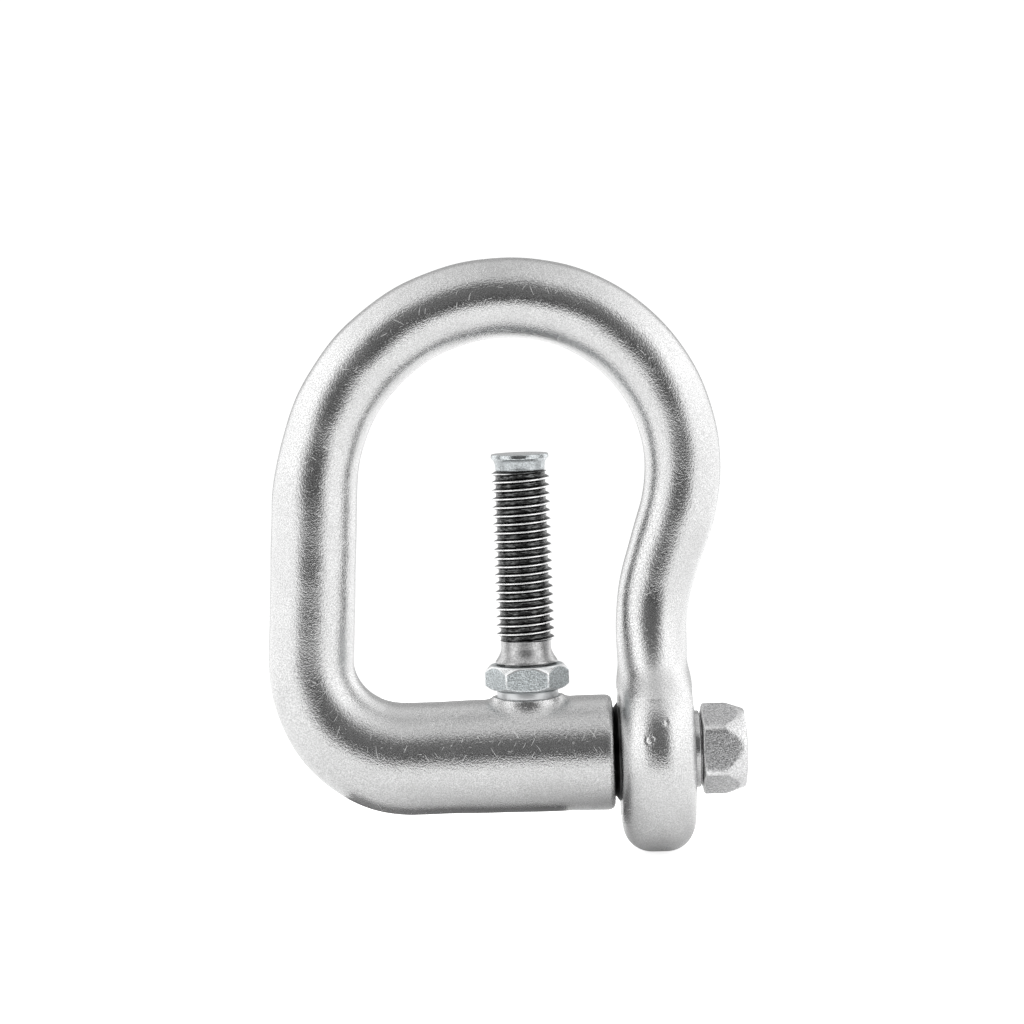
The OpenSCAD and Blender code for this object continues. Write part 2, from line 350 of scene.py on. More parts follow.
def bow_distance(p):
    """Distance of points from the bow's surface, negative inside, in millimetres."""
    solid = np.minimum(arm_distance(p), merged(arch_distance(p), eye_distance(p), EYE_JOINT))
    round_bolt = np.hypot(p[:, 1], p[:, 2])
    hole_end = -(reaches("bolt")[0] - 0.4)
    bolt_hole = np.maximum(np.maximum(round_bolt - FINE_R - FIT, -p[:, 0] - hole_end), p[:, 0] - 1)
    eye_bore = np.maximum(round_bolt - FINE_R - SLACK, 1 - p[:, 0])
    stud_low = heights("stud")[0] - 1.5
    stud_hole = np.maximum(np.hypot(p[:, 0] - STUD_X, p[:, 1]) - FINE_R - FIT, stud_low - p[:, 2])
    stud_hole = np.maximum(stud_hole, p[:, 2] - BOSS_TOP - 5)
    for hole in (bolt_hole, eye_bore, stud_hole):
        solid = cut(solid, hole, HOLE_EDGE)
    return solid + unevenness(p)


def gradient(distance, p, h=0.04):
    steps = np.eye(3) * h
    return np.stack([distance(p + s) - distance(p - s) for s in steps], -1) / (2 * h)


def settled(distance, p, rounds):
    """Points moved onto the surface."""
    for _ in range(rounds):
        g = gradient(distance, p)
        p = p - g * (distance(p) / np.maximum((g ** 2).sum(-1), 0.05))[:, None]
    return p


def sampled(distance, low, shape, step, block=4):
    """The field on a grid, worked out in full only near the surface."""
    reach = block * step * 1.8
    coarse_shape = [math.ceil(n / block) for n in shape]
    coarse_axes = [low[a] + (np.arange(coarse_shape[a]) + 0.5) * block * step for a in range(3)]
    coarse_points = np.stack(np.meshgrid(*coarse_axes, indexing="ij"), -1).reshape(-1, 3)
    coarse = distance(coarse_points).reshape(coarse_shape)
    values = coarse
    for axis in range(3):
        values = np.repeat(values, block, axis)
    values = values[:shape[0], :shape[1], :shape[2]].copy()
    near = np.argwhere(np.abs(values) < reach)
    values[tuple(near.T)] = distance(low + near * step)
    return values


def surface_net(distance, low, high, step):
    """A closed quad mesh where the distance is zero.

    Each crossed cell gets a point, and each crossed edge a quad round it."""
    low = np.array(low, float)
    shape = [int(math.ceil((high[a] - low[a]) / step)) + 1 for a in range(3)]
    inside = sampled(distance, low, shape, step) < 0
    corners = sum(inside[i:shape[0] - 1 + i, j:shape[1] - 1 + j, k:shape[2] - 1 + k].astype(np.int8)
                  for i in (0, 1) for j in (0, 1) for k in (0, 1))
    crossed = (corners > 0) & (corners < 8)
    index = np.full(crossed.shape, -1)
    index[crossed] = np.arange(crossed.sum())
    points = low + (np.argwhere(crossed) + 0.5) * step
    quads = []
    for axis in range(3):
        order = (axis, (axis + 1) % 3, (axis + 2) % 3)
        filled, cells = inside.transpose(order), index.transpose(order)
        leaves = filled[:-1, 1:-1, 1:-1] & ~filled[1:, 1:-1, 1:-1]
        enters = ~filled[:-1, 1:-1, 1:-1] & filled[1:, 1:-1, 1:-1]
        around = [cells[:, :-1, :-1], cells[:, 1:, :-1], cells[:, 1:, 1:], cells[:, :-1, 1:]]
        quads.append(np.stack([c[leaves] for c in around], -1))
        quads.append(np.stack([c[enters] for c in around[::-1]], -1))
    return points, np.concatenate(quads)


def relaxed(distance, points, quads, rounds):
    """Evens out the spacing of the points along the surface."""
    ends = np.concatenate([quads[:, [0, 1]], quads[:, [1, 2]], quads[:, [2, 3]], quads[:, [3, 0]]])
    count = np.bincount(ends[:, 0], minlength=len(points))
    for _ in range(rounds):
        total = [np.bincount(ends[:, 0], weights=points[ends[:, 1], a], minlength=len(points))
                 for a in range(3)]
        mean = np.stack(total, -1) / np.maximum(count, 1)[:, None]
        points = settled(distance, points + 0.6 * (mean - points), 1)
    return settled(distance, points, 2)


def bar_coordinates(points):
    """Each point's place on the straightened bar, in metres: along it, across it and in depth."""
    best = np.full(len(points), np.inf)
    place = np.zeros((len(points), 3))
    for i, stretch in enumerate(ROUTE):
        last = i == len(ROUTE) - 1
        along, across, share, _ = nearest(stretch, points, i == 0, last)
        depth = points[:, 1]
        away = np.sqrt(along ** 2 + across ** 2 + depth ** 2)
        if i == 0:
            away = np.where(eye_distance(points) < arm_distance(points), np.inf, away)
        elif last:
            away = np.where(eye_distance(points) > arm_distance(points), np.inf, away)
        closer = away < best
        s = stretch.travelled + share * stretch.length + along
        best = np.where(closer, away, best)
        place[closer] = np.stack([s, across, depth], -1)[closer]
    return place * MM


def make_bow():
    """The forged bow as one closed mesh, with its place on the straight bar kept for the material."""
    low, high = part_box("bow")
    origin = Vector((ARM_FACE_X, 0, BOLT_AXIS_Z))
    margin = Vector((1, 1, 1)) * 1.5
    step = 0.45
    lowest = (low - origin) / MM - margin
    highest = (high - origin) / MM + margin
    points, quads = surface_net(bow_distance, lowest, highest, step)
    points = relaxed(bow_distance, settled(bow_distance, points, 2), quads, 3)
    normals = gradient(bow_distance, points)
    normals /= np.linalg.norm(normals, axis=1)[:, None]
    bow = mesh_object("forged_bow", points, quads.tolist(), normals)
    place = bow.data.attributes.new("bar_place", "FLOAT_VECTOR", "POINT")
    place.data.foreach_set("vector", bar_coordinates(points).astype(np.float32).ravel())
    return bow


# ---------------------------------------------------------------------------------------------
# The turned and threaded pieces

PITCH_FINE, PITCH_COARSE = 1.5, 1.75
COARSE_R, COARSE_ROOT_R, FINE_ROOT_R = 6, 5.13, 4.2
ROWS_A_TURN = 16
CREST_SHARE, ROOT_SHARE = 0.06, 0.34


def thread_rows(low, high, pitch, crest_r, root_r, chamfer, turns, per_turn=ROWS_A_TURN):
    """Rows of a right-hand thread between two heights, its first and last turns chamfered."""
    rows = []
    count = int(round((high - low) / pitch * per_turn))
    for i in range(count + 1):
        z = low + (high - low) * i / count
        phase = (z / pitch - turns / (2 * math.pi)) % 1
        from_root = np.abs(phase - 0.5) * 2
        rise = np.clip((from_root - ROOT_SHARE) / (1 - CREST_SHARE - ROOT_SHARE), 0, 1)
        soft = 0.45 * rise + 0.55 * eased(rise)
        radius = root_r + (crest_r - root_r) * soft
        end = min(z - low, high - z)
        radius = np.minimum(radius, crest_r - chamfer + min(end, chamfer))
        rows.append((radius, np.full(len(turns), z)))
    return rows


def make_stud():
    """Lower thread, flared collar, plain neck, upper thread and ball end, in one turned surface."""
    sides = 96
    turns = angles(sides)
    tip, top = heights("stud")
    pad_low = heights("thrust_pad")[0]
    nut_high = heights("jam_nut")[1]
    collar_z, neck_r, collar_r = nut_high + 0.4, 5.15, 6.4
    flare_top, thread_low, thread_high = collar_z + 3, collar_z + 4.7, pad_low - 0.2
    ball_r = 1.75
    ball_z = top - ball_r
    rows = turned_rows([(2.2, tip), (3.6, tip), (4.0, tip + 0.05)], sides)
    rows += thread_rows(tip + 0.1, nut_high, PITCH_FINE, FINE_R, FINE_ROOT_R, 0.9, turns)
    lip_z = collar_z + 0.35
    flare = [(neck_r + (collar_r - neck_r) * (1 - t) ** 1.6, lip_z + (flare_top - collar_z - 0.35) * t)
             for t in np.linspace(0, 1, 12)]
    neck = rounded([(4.6, collar_z - 0.25, 0), (4.6, collar_z, 0.1), (collar_r, collar_z, 0.12),
                    (flare[0][0], flare[0][1], 0)], False)
    rows += turned_rows(neck + flare[1:], sides)
    rows += turned_rows(rounded([(neck_r, flare_top + 0.3, 0), (neck_r, thread_low - 0.25, 0.1),
                                 (COARSE_ROOT_R, thread_low - 0.1, 0)], False), sides)
    rows += thread_rows(thread_low, thread_high, PITCH_COARSE, COARSE_R, COARSE_ROOT_R, 0.4, turns)
    rows += turned_rows([(5.3, thread_high), (1.5, thread_high), (1.2, thread_high + 0.05)], sides)
    start = math.asin((thread_high + 0.1 - ball_z) / ball_r)
    rows += turned_rows([(ball_r * math.cos(a), ball_z + ball_r * math.sin(a))
                         for a in np.linspace(start, math.radians(84), 10)], sides)
    return revolved("clamp_stud", rows, on_stud, ring=False)


def make_thrust_pad():
    """A flared pad whose rolled rim stands over a narrower waist, with a socket for the stud's ball."""
    low, high = heights("thrust_pad")
    socket_r, socket_z = 1.8, low + 1.1
    rim_r, rim_h, waist_r, mouth_r = 5.98, 0.85, 5.05, 1.46
    socket = [(socket_r * math.cos(a), socket_z + socket_r * math.sin(a))
              for a in np.linspace(math.radians(-36), math.radians(82), 12)]
    outside = rounded([
        (0.3, high, 0), (rim_r - 0.08, high, 0.22), (rim_r, high - rim_h, 0.25), (5.3, high - 1.5, 1.1),
        (waist_r, low + 0.5, 0.6), (waist_r + 0.07, low + 0.3, 0.1), (waist_r, low, 0.1),
        (mouth_r, low, 0.1)], False)
    inner = turned_rows(socket, 96)
    rows = turned_rows(outside[::-1], 96)
    return revolved("swivel_pad", inner[::-1] + rows, on_stud, ring=False)


def hex_turns():
    """Angles round a hexagon, closer together at its corners, with a flat facing turn -90 degrees."""
    flat = np.arange(-18, 19, 6)
    corner = np.arange(21, 40, 1)
    share = np.concatenate([flat, corner])
    return np.radians(np.concatenate([share + 60 * side - 90 for side in range(6)]))


def hex_radius(half_flat, turns, corner):
    """Distance of a hexagon's outline from its middle, its corners rounded."""
    off_flat = np.abs((np.degrees(turns) + 90 + 30) % 60 - 30)
    straight = half_flat / np.cos(np.radians(off_flat))
    centre = (half_flat - corner) / math.cos(math.radians(30))
    off_corner = np.radians(30 - off_flat)
    half_chord = np.sqrt(np.maximum(corner ** 2 - (centre * np.sin(off_corner)) ** 2, 0))
    arc = centre * np.cos(off_corner) + half_chord
    on_arc = straight * np.sin(np.radians(off_flat)) > (half_flat - corner) * math.tan(math.radians(30))
    return np.where(on_arc, arc, straight)


def coned_end(outline, end_z, end_r, slope, inward, edge, rub_sheen_share=1.0):
    """Rows over the turned-off corners of a hexagonal end, from its end face onto its flats.

    The cone starts at end_r and falls by slope for each millimetre outwards. inward is 1 at a lower end and
    -1 at an upper one. Both of the cone's borders are rounded over about the edge width, and the last
    argument sets how far the chamfer and its corners are lightened in colour: partly wear, partly a painted
    highlight."""
    off_corner = outline.max() - outline
    corner = np.clip(1 - off_corner / (0.04 + 0.1 * edge), 0, 1)
    wide = np.maximum(outline - end_r, 0)
    drop = wide * slope
    level = np.zeros_like(outline)
    rows = [(level + end_r - edge, level, level + 0.3),
            (level + end_r - 0.25 * edge, level + 0.12 * edge, level + 0.8)]
    for share in (0.12, 0.5, 0.85):
        fallen = np.maximum(drop * share, edge * (0.3 + 0.4 * share))
        rows.append((end_r + wide * share, fallen, level + 0.9))
    rows.append((outline - 0.12 * edge, drop + 0.25 * edge, level + 1))
    rows.append((outline - 0.02 * edge, drop + 0.8 * edge, 0.6 + 0.4 * corner))
    rows.append((outline, drop + 1.6 * edge, corner))
    return [(r, end_z + inward * z, rub_sheen_share * rub_sheen) for r, z, rub_sheen in rows]


def round_rows(profile, outline):
    """Rows of a turned profile with as many columns as a hexagon's outline."""
    return [(np.full_like(outline, r), np.full_like(outline, z)) for r, z in profile]


def make_jam_nut():
    """Hex nut, its corners turned off more deeply at the top."""
    low, high = heights("jam_nut")
    half_flat, corner, edge = 7.6, 0.45, 0.2
    turns = hex_turns()
    outline = hex_radius(half_flat, turns, corner)
    end_r = half_flat - 0.05
    # Chamfers lightened in colour, partly wear and partly a painted highlight: faintly below, strongly on
    # top.
    lower = coned_end(outline, low, end_r, 0.62, 1, edge, 0.3)
    upper = coned_end(outline, high, end_r, 1.2, -1, edge, 0.8)
    bore, mouth = FINE_R + FIT, FINE_R + FIT + 0.7
    inside = round_rows([(mouth, high), (bore, high - 0.6), (bore, low + 0.6), (mouth, low)], outline)
    return revolved("jam_nut_body", lower + upper[::-1] + inside, on_stud, ring=True, turns=turns)


def make_bolt():
    """Hex head with a recessed washer face and a domed end, plain shank and threaded end."""
    tip, end = reaches("bolt")
    head_x = reaches("head_washer")[1]
    half_flat, corner, head_turn = 8.5, 2.4, 5
    dome, cone_r, cone_slope = 0.7, 8.1, 2.9
    face_r, face_t = 6.9, 0.3
    turns = hex_turns()
    outline = hex_radius(half_flat, turns, corner)
    grip_end = tip + 15
    rows = round_rows([(2.0, tip), (3.9, tip), (4.0, tip + 0.05)], outline)
    rows += thread_rows(tip + 0.1, grip_end, PITCH_FINE, FINE_R, FINE_ROOT_R, 0.9, turns)
    rows += round_rows(rounded([
        (4.75, grip_end + 0.2, 0), (4.95, grip_end + 0.6, 0.2), (4.95, head_x, 0.2), (face_r, head_x, 0.1),
        (face_r, head_x + face_t, 0.1), (face_r + 0.5, head_x + face_t, 0)], False), outline)
    # Both chamfers of the head are lightened in colour: partly wear, partly a painted highlight.
    rows += coned_end(outline, head_x + face_t, half_flat - 0.3, 0.35, 1, 0.3, 0.6)
    rows += coned_end(outline, end - dome, cone_r, cone_slope, -1, 0.35, 0.35)[::-1]
    dome_r = cone_r - 0.35
    dome_radii = np.linspace(cone_r - 0.8, 1.0, 8)
    rows += round_rows([(r, end - dome * (r / dome_r) ** 2) for r in dome_radii], outline)
    tilt = math.radians(head_turn)

    def placed(radius, turn, height):
        around = turn + 1.5 * math.pi - tilt
        return on_bolt(radius, around, height)

    return revolved("hex_bolt", rows, placed, ring=False, turns=turns)


def make_head_washer():
    """Flat ring under the bolt's head, its edges rounded."""
    low, high = reaches("head_washer")
    inner, outer, bore_edge, edge = FINE_R + SLACK, 8, 0.2, 0.3
    section = [(inner, low, bore_edge), (outer, low, edge), (outer, high, edge), (inner, high, bore_edge)]
    rows = turned_rows(rounded(section, True), 96)
    return revolved("bolt_washer", rows, on_bolt, ring=True)


def make_spacer():
    """Dark ring between the arm and the eye, coned towards the arm."""
    low, high = reaches("spacer_washer")
    inner, outer, cone, rim_t = FINE_R + SLACK, 10.2, 1.3, 0.35
    section = [(inner, low, 0.1), (outer - cone, low, 0.3), (outer, high - rim_t, 0.12),
               (outer, high, 0.05), (inner, high, 0.1)]
    rows = turned_rows(rounded(section, True), 96)
    return revolved("eye_spacer", rows, on_bolt, ring=True)


def make_lock_washer():
    """A rectangular section swept round the stud, stopping each side of a slanted cut at the back."""
    low, high = heights("lock_washer")
    inner, outer, cut_w, slant = FINE_R + SLACK, 6.45, 0.9, math.radians(25)
    section = rounded([(inner, low, 0.15), (outer, low, 0.25), (outer - 0.1, high - 0.1, 0.6),
                       (inner, high, 0.15)], True)
    section = np.array(section)
    middle_z = (low + high) / 2
    steps = 72
    rings = []
    for i in range(steps + 1):
        share = i / steps
        lean = (section[:, 1] - middle_z) * math.tan(slant)
        edge = cut_w / 2 / math.cos(slant)
        first = math.pi / 2 - (lean - edge) / section[:, 0]
        last = math.pi / 2 - (lean + edge) / section[:, 0] + 2 * math.pi
        a = first + (last - first) * share
        rings.append(on_stud(section[:, 0], a, section[:, 1]))
    points = np.concatenate(rings)
    n = len(section)
    faces = [(i * n + j, i * n + (j + 1) % n, (i + 1) * n + (j + 1) % n, (i + 1) * n + j)
             for i in range(steps) for j in range(n)]
    faces = [face[::-1] for face in faces]
    faces.append(tuple(range(n)))
    faces.append(tuple(range(len(points) - 1, len(points) - n - 1, -1)))
    return mesh_object("split_washer", points, faces)


# ---------------------------------------------------------------------------------------------
# Materials


class Shader:
    """A material's node tree, with a short way to add a node and to link or set its inputs."""

    def __init__(self, name):
        self.material = bpy.data.materials.new(name)
        self.material.use_nodes = True
        self.tree = self.material.node_tree
        self.surface = self.tree.nodes["Principled BSDF"]

    def feed(self, socket, value):
        if isinstance(value, bpy.types.NodeSocket):
            self.tree.links.new(value, socket)
        else:
            socket.default_value = value

    def node(self, kind, inputs, out=0, **settings):
        made = self.tree.nodes.new("ShaderNode" + kind)
        for key, value in settings.items():
            setattr(made, key, value)
        for key, value in inputs.items():
            self.feed(made.inputs[key], value)
        return made.outputs[out]

    def scaled(self, coordinates, scale):
        return self.node("VectorMath", {0: coordinates, 1: scale}, operation="MULTIPLY")

    def noise(self, coordinates, scale, detail=2.0, rough=0.6):
        return self.node("TexNoise", {"Vector": coordinates, "Scale": scale, "Detail": detail,
                                      "Roughness": rough})

    def ranged(self, value, low, high, to_low, to_high):
        return self.node("MapRange", {"Value": value, "From Min": low, "From Max": high, "To Min": to_low,
                                      "To Max": to_high})

    def maths(self, operation, a, b):
        return self.node("Math", {0: a, 1: b}, operation=operation)

    def blend(self, share, a, b):
        made = self.tree.nodes.new("ShaderNodeMix")
        made.data_type = "RGBA"
        self.feed(made.inputs[0], share)
        self.feed(made.inputs[6], a)
        self.feed(made.inputs[7], b)
        return made.outputs[2]

    def bump(self, height, distance, normal=None):
        inputs = {"Height": height, "Distance": distance, "Strength": 1.0}
        if normal is not None:
            inputs["Normal"] = normal
        return self.node("Bump", inputs)

    def finish(self, color, roughness, normal, metallic=1.0):
        self.feed(self.surface.inputs["Base Color"], color)
        self.feed(self.surface.inputs["Metallic"], metallic)
        self.feed(self.surface.inputs["Roughness"], roughness)
        self.feed(self.surface.inputs["Normal"], normal)
        return self.material


def grey(level, tint=(1, 1, 1)):
    return (level * tint[0], level * tint[1], level * tint[2], 1)


def hairlines(shader, place, scale, threshold):
    """Thin, short, slightly curved scratches: the peaks of a noise drawn out along one direction."""
    wander_length = 0.0012
    wander = shader.node("TexNoise", {"Vector": place, "Scale": 260.0, "Detail": 1.0}, out=1)
    centred = shader.node("VectorMath", {0: wander, 1: (0.5, 0.5, 0.5)}, operation="SUBTRACT")
    offset = shader.scaled(centred, (wander_length, wander_length, wander_length))
    bent = shader.node("VectorMath", {0: place, 1: offset}, operation="ADD")
    lines = shader.noise(shader.scaled(bent, scale), 1.0, 0.0)
    return shader.ranged(lines, threshold, threshold + 0.02, 0.0, 1.0)


def leaned(shader, place, lean):
    """Coordinates sheared so that lines across the bar run aslant on its faces."""
    shear = shader.node("VectorMath", {0: place, 1: (0, lean, 0)}, operation="DOT_PRODUCT", out=1)
    along = shader.node("CombineXYZ", {0: shear, 1: 0.0, 2: 0.0})
    return shader.node("VectorMath", {0: place, 1: along}, operation="ADD")


def forged_steel():
    """Satin galvanised bar: pebbly fine grain, soft patches and scratches that run across and along it."""
    shader = Shader("forged_steel")
    place = shader.node("Attribute", {}, out=1, attribute_name="bar_place")
    grain = shader.noise(place, 4200.0, 1.0, 0.6)
    pebbles = shader.noise(place, 2300.0, 1.0, 0.5)
    patches = shader.noise(place, 120.0, 3.0)
    scratches = hairlines(shader, leaned(shader, place, 0.55), (5200, 230, 230), 0.815)
    for lean, scale, threshold in ((-0.5, (5600, 420, 420), 0.81), (0.15, (260, 5200, 5200), 0.83)):
        more = hairlines(shader, leaned(shader, place, lean), scale, threshold)
        scratches = shader.maths("MAXIMUM", scratches, more)
    tone = shader.ranged(patches, 0.3, 0.7, 0.0, 1.0)
    color = shader.blend(tone, grey(0.65), grey(0.74))
    speckle = shader.ranged(grain, 0.35, 0.65, 0.0, 1.0)
    color = shader.blend(speckle, color, grey(0.46))
    color = shader.blend(shader.maths("MULTIPLY", scratches, 0.55), color, grey(0.9))
    rough = shader.ranged(patches, 0.3, 0.7, 0.15, 0.22)
    rough = shader.maths("ADD", rough, shader.maths("MULTIPLY", scratches, 0.2))
    normal = shader.bump(patches, 0.00006)
    normal = shader.bump(pebbles, 0.00004, normal)
    normal = shader.bump(grain, 0.00005, normal)
    normal = shader.bump(scratches, -0.000012, normal)
    return shader.finish(color, rough, normal)


def plated_steel(name, level, tint, rough, grain_depth, speckle=0.75):
    """Zinc plating: fine grain, faint patches, worn hairline marks, and chamfers and corners lightened in
    colour: partly wear, partly a painted highlight.
    """
    shader = Shader(name)
    place = shader.node("TexCoord", {}, out=3)
    grain = shader.noise(place, 3400.0, 1.0, 0.7)
    patches = shader.noise(place, 260.0, 3.0)
    marks = hairlines(shader, place, (700, 4200, 4200), 0.76)
    tone = shader.ranged(patches, 0.3, 0.7, 0.0, 1.0)
    color = shader.blend(tone, grey(level * 0.95, tint), grey(level * 1.08, tint))
    color = shader.blend(shader.ranged(grain, 0.35, 0.65, 0.0, 1.0), color, grey(level * speckle, tint))
    color = shader.blend(shader.maths("MULTIPLY", marks, 0.5), color, grey(level * 1.25, tint))
    # Painted highlight, partly wear: where the rows are marked, the colour goes towards near white and the
    # metal gets smoother.
    rub_sheen = shader.node("Attribute", {}, out=2, attribute_name="rub_sheen")
    color = shader.blend(rub_sheen, color, grey(0.95))
    roughness = shader.ranged(patches, 0.3, 0.7, rough - 0.03, rough + 0.05)
    roughness = shader.maths("SUBTRACT", roughness, shader.maths("MULTIPLY", rub_sheen, 0.5 * rough))
    smooth = shader.ranged(rub_sheen, 0.0, 0.5, 1.0, 0.25)
    normal = shader.bump(shader.maths("MULTIPLY", grain, smooth), grain_depth)
    return shader.finish(color, roughness, normal)


def stud_height(shader, place):
    """Height of a point above the bolt's axis, in millimetres."""
    height = shader.node("SeparateXYZ", {0: place}, out=2)
    return shader.ranged(height, BOLT_AXIS_Z, BOLT_AXIS_Z + 0.1, 0.0, 100.0)


def pad_zinc():
    """Bluish zinc, rolled bright round the pad's rim and dull below it."""
    shader = Shader("pad_zinc")
    place = shader.node("TexCoord", {}, out=3)
    tint = (0.95, 1.0, 1.02)
    rim = heights("thrust_pad")[1] - 1.25
    grain = shader.noise(place, 3400.0, 1.0, 0.7)
    patches = shader.noise(place, 600.0, 2.0)
    below = shader.ranged(stud_height(shader, place), rim, rim + 0.25, 1.0, 0.0)
    color = shader.blend(shader.ranged(patches, 0.3, 0.7, 0.0, 1.0), grey(0.55, tint), grey(0.72, tint))
    color = shader.blend(shader.ranged(grain, 0.4, 0.6, 0.0, 1.0), color, grey(0.40, tint))
    rough = shader.ranged(below, 0.0, 1.0, 0.14, 0.42)
    normal = shader.bump(grain, 0.00004)
    return shader.finish(color, rough, normal)


def threaded_steel():
    """Turned steel, lighter along its thread, with painted shade in the thread's grooves: a near-black
    colour in streaks.
    """
    shader = Shader("stud_steel")
    place = shader.node("TexCoord", {}, out=3)
    offset = shader.node("VectorMath", {0: place, 1: (-STUD_AXIS_X, 0, 0)}, operation="ADD")
    radius = shader.node("VectorMath", {0: shader.scaled(offset, (1, 1, 0))}, operation="LENGTH", out=1)
    grain = shader.noise(place, 3200.0, 1.0, 0.7)
    patches = shader.noise(place, 350.0, 3.0)
    streaks = shader.noise(shader.scaled(place, (1, 1, 5)), 900.0, 2.0)
    height = stud_height(shader, place)
    low, high = heights("jam_nut")[1] + 4.95, heights("thrust_pad")[0] - 0.15
    on_thread = shader.maths("MULTIPLY", shader.ranged(height, low, low + 0.1, 0.0, 1.0),
                             shader.ranged(height, high, high + 0.1, 1.0, 0.0))
    groove = shader.ranged(radius, (COARSE_R - 0.22) * MM, (COARSE_R - 0.10) * MM, 1.0, 0.0)
    groove = shader.maths("MULTIPLY", groove, on_thread)
    metal = shader.blend(shader.ranged(patches, 0.3, 0.7, 0.0, 1.0), grey(0.46), grey(0.62))
    metal = shader.blend(shader.ranged(grain, 0.4, 0.6, 0.0, 1.0), metal, grey(0.36))
    metal = shader.blend(on_thread, metal, grey(0.96))
    # Painted shade: the grooves get a near-black colour, streaked lighter in places.
    groove_shade = shader.blend(shader.ranged(streaks, 0.42, 0.68, 0.0, 1.0), grey(0.02), grey(0.20, (0.98, 1, 1)))
    color = shader.blend(groove, metal, groove_shade)
    rough = shader.ranged(patches, 0.3, 0.7, 0.26, 0.36)
    rough = shader.maths("SUBTRACT", rough, shader.maths("MULTIPLY", on_thread, 0.06))
    normal = shader.bump(grain, 0.00004)
    return shader.finish(color, rough, normal)


def dark_steel():
    """Oiled black oxide with a dull grain, near black: partly the ring's finish, partly painted shade for
    the narrow gap between the arm and the eye.
    """
    shader = Shader("dark_steel")
    place = shader.node("TexCoord", {}, out=3)
    grain = shader.noise(place, 2400.0, 2.0)
    patches = shader.noise(place, 300.0, 3.0)
    color = shader.blend(shader.ranged(patches, 0.3, 0.7, 0.0, 1.0), grey(0.035), grey(0.09))
    rough = shader.ranged(patches, 0.3, 0.7, 0.3, 0.45)
    return shader.finish(color, rough, shader.bump(grain, 0.00003))


def table_top():
    """A white light table: dull white, lit from below, and brighter to the eye than in reflections."""
    shader = Shader("light_table")
    seen = shader.node("LightPath", {})
    place = shader.node("TexCoord", {}, out=3)
    mottle = shader.noise(place, 30.0, 3.0)
    color = shader.blend(shader.ranged(mottle, 0.3, 0.7, 0.0, 1.0), grey(0.80), grey(0.82))
    shader.surface.inputs["Emission Color"].default_value = (1, 1, 1, 1)
    shader.feed(shader.surface.inputs["Emission Strength"], shader.ranged(seen, 0.0, 1.0, 0.12, 0.8))
    return shader.finish(color, 0.6, shader.bump(mottle, 0.0001), metallic=0.0)


def painted_floor_shadow():
    """Painted shadow for the card under and behind the shackle: grey, darker towards its far side."""
    shader = Shader("painted_floor_shadow")
    place = shader.node("TexCoord", {}, out=3)
    shadow_mottle = shader.noise(place, 900.0, 3.0)
    color = shader.blend(shader.ranged(shadow_mottle, 0.3, 0.7, 0.0, 1.0), grey(0.26), grey(0.34))
    depth = shader.node("SeparateXYZ", {0: place}, out=1)
    color = shader.blend(shader.ranged(depth, 0.008, 0.028, 0.0, 1.0), color, grey(0.02))
    return shader.finish(color, 0.9, shader.bump(shadow_mottle, 0.0002), metallic=0.0)


# ---------------------------------------------------------------------------------------------
# Stage, light and camera


def make_floor():
    """A round pale table top just under the shackle."""
    radius, thickness, sides = 0.26, 0.002, 128
    low = cad_box[0].z - 0.0002
    turn = angles(sides)
    rows = [(radius * 0.1, 0), (radius, 0), (radius, -thickness), (radius * 0.1, -thickness)]
    points = np.concatenate([np.stack([r * np.cos(turn), r * np.sin(turn), np.full(sides, z + low)], -1)
                             for r, z in rows])
    faces = []
    for i in range(len(rows) - 1):
        near, far = i * sides, (i + 1) * sides
        for j in range(sides):
            k = (j + 1) % sides
            faces.append((near + j, far + j, far + k, near + k))
    faces += [tuple(range(sides)), tuple(range(len(points) - 1, len(points) - sides - 1, -1))]
    mesh = bpy.data.meshes.new("floor")
    mesh.from_pydata(points.tolist(), [], faces)
    floor = bpy.data.objects.new("floor", mesh)
    bpy.context.scene.collection.objects.link(floor)
    mesh.materials.append(table_top())


def make_card():
    """Painted shadow: a dark card on the table, under and behind the arm, standing in for the shackle's
    shadow there; seen only in the metal's undersides.
    """
    left, right = cad_box[0].x + 0.008, ARM_FACE_X - 0.010
    near, far = -0.002, 0.075
    z = cad_box[0].z - 0.0001
    points = [(left, near, z), (right, near, z), (right, far, z), (left, far, z)]
    mesh = bpy.data.meshes.new("painted_shadow_card")
    mesh.from_pydata(points, [], [(0, 1, 2, 3)])
    card = bpy.data.objects.new("painted_shadow_card", mesh)
    bpy.context.scene.collection.objects.link(card)
    mesh.materials.append(painted_floor_shadow())
    card.visible_camera = False
    card.visible_diffuse = False
    card.visible_shadow = False


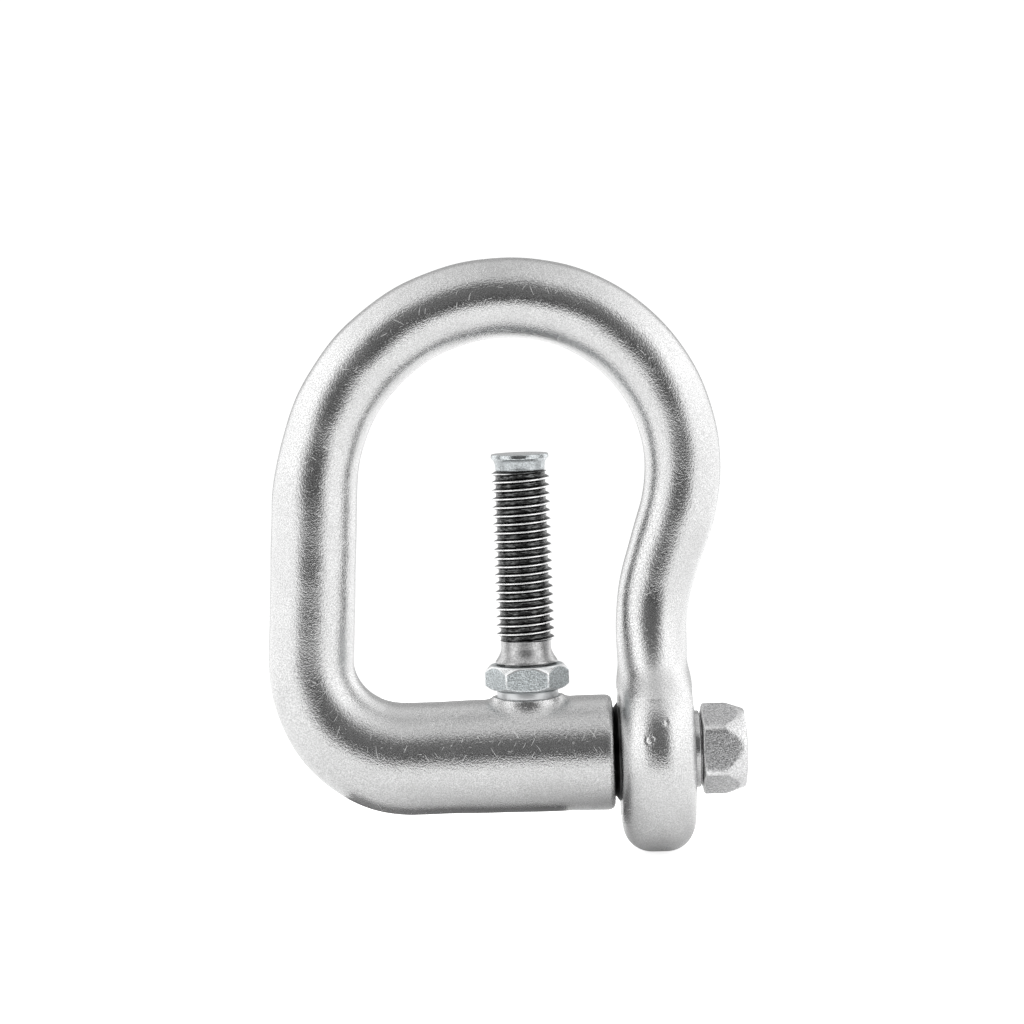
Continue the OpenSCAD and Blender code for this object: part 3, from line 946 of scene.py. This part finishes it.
def make_studio():
    """A white tent round the table: bright at its upper corners, dimmer overhead, dark openings in front."""
    world = bpy.data.worlds.new("studio")
    bpy.context.scene.world = world
    world.use_nodes = True
    tree = world.node_tree
    background = tree.nodes["Background"]

    def node(kind, inputs, out=0, **settings):
        made = tree.nodes.new("ShaderNode" + kind)
        for key, value in settings.items():
            setattr(made, key, value)
        for key, value in inputs.items():
            if isinstance(value, bpy.types.NodeSocket):
                tree.links.new(value, made.inputs[key])
            else:
                made.inputs[key].default_value = value
        return made.outputs[out]

    def maths(operation, a, b=0.0):
        return node("Math", {0: a, 1: b}, operation=operation)

    def smooth(value, low, high, to_low, to_high):
        return node("MapRange", {"Value": value, "From Min": low, "From Max": high, "To Min": to_low,
                                 "To Max": to_high}, interpolation_type="SMOOTHSTEP")

    direction = node("TexCoord", {})
    x, y, z = node("SeparateXYZ", {0: direction}).node.outputs

    def opening(x0, half_x, z0, half_z, side):
        """Soft-edged dark oval seen in the front (side -1) or back (side 1) half of the surroundings."""
        across = maths("POWER", maths("DIVIDE", maths("SUBTRACT", x, x0), half_x), 2.0)
        up = maths("POWER", maths("DIVIDE", maths("SUBTRACT", z, z0), half_z), 2.0)
        edge = smooth(maths("ADD", across, up), 0.62, 1.35, 1.0, 0.0)
        return maths("MULTIPLY", edge, smooth(maths("MULTIPLY", y, side), 0.0, 0.15, 0.0, 1.0))

    sides = smooth(z, 0.30, 0.92, 1.46, 0.80)
    corners = maths("MULTIPLY", maths("ABSOLUTE", x), maths("MAXIMUM", z, 0.0))
    level = maths("ADD", sides, maths("MULTIPLY", corners, 0.9))
    front = maths("SUBTRACT", 1.0, maths("MULTIPLY", opening(-0.04, 0.63, 0.28, 0.50, -1.0), 0.86))
    for x0, half_x, share in ((-0.28, 0.30, 0.6), (0.20, 0.24, 0.7)):
        low_gap = maths("SUBTRACT", 1.0, maths("MULTIPLY", opening(x0, half_x, -0.06, 0.24, -1.0), share))
        front = maths("MULTIPLY", front, low_gap)
    back = maths("SUBTRACT", 1.0, maths("MULTIPLY", opening(0.0, 0.55, 0.25, 0.45, 1.0), 0.6))
    level = maths("MULTIPLY", level, maths("MULTIPLY", front, back))
    seen = node("LightPath", {})
    shown = node("MapRange", {"Value": seen, "To Min": level, "To Max": 1.1})
    tree.links.new(shown, background.inputs["Strength"])
    background.inputs["Color"].default_value = (1, 1, 1, 1)


def make_table_light():
    """A wide soft light straight above that whitens the table and leaves no glint on the metal."""
    light = bpy.data.lights.new("table_light", "SUN")
    light.energy = 1.3
    light.angle = math.radians(70)
    lamp = bpy.data.objects.new("table_light", light)
    lamp.visible_glossy = False
    lamp.location = (0, 0, 0.5)
    bpy.context.scene.collection.objects.link(lamp)


def make_camera():
    """Looks at the middle of the shackle from 4.5 degrees above, held 2 degrees off level."""
    aim, distance = Vector((0.00013, 0, -0.0360)), 0.7
    elevation, roll = math.radians(4.5), math.radians(-2)
    back = Vector((0, -math.cos(elevation), math.sin(elevation)))
    data = bpy.data.cameras.new("camera")
    data.lens = 119.1
    data.sensor_width = 36
    camera = bpy.data.objects.new("camera", data)
    camera.rotation_mode = "QUATERNION"
    camera.location = aim + back * distance
    camera.rotation_quaternion = (-back).to_track_quat("-Z", "Y") @ Quaternion((0, 0, 1), roll)
    bpy.context.scene.collection.objects.link(camera)
    bpy.context.scene.camera = camera


def add(piece, material, node, body, slot):
    """Dresses a piece and lets it stand for its CAD node."""
    piece.data.materials.append(material)
    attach(piece, body)
    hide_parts(node)


make_camera()
make_studio()
make_table_light()
make_floor()
make_card()
bpy.context.scene.view_settings.view_transform = "Standard"

add(make_bow(), forged_steel(), "bow", "bow", "forged_steel")
add(make_spacer(), dark_steel(), "spacer_washer", "bow", "dark_steel")
bolt_steel = plated_steel("bolt_steel", 0.68, (1, 1, 1.01), 0.3, 0.00012, 0.42)
add(make_bolt(), bolt_steel, "bolt", "bolt", "bolt_steel")
head_washer_steel = plated_steel("washer_steel", 0.56, (1, 1, 1), 0.2, 0.00004)
add(make_head_washer(), head_washer_steel, "head_washer", "head_washer", "washer_steel")
add(make_stud(), threaded_steel(), "stud", "stud", "stud_steel")
blue_zinc = plated_steel("blue_zinc", 0.76, (0.94, 1.0, 1.02), 0.45, 0.00015, 0.42)
add(make_jam_nut(), blue_zinc, "jam_nut", "jam_nut", "blue_zinc")
add(make_thrust_pad(), pad_zinc(), "thrust_pad", "thrust_pad", "blue_zinc")
# The lock washer wears the plain washer steel that came in with the CAD model.
add(make_lock_washer(), bpy.data.materials["washer_steel"], "lock_washer", "lock_washer", "washer_steel")
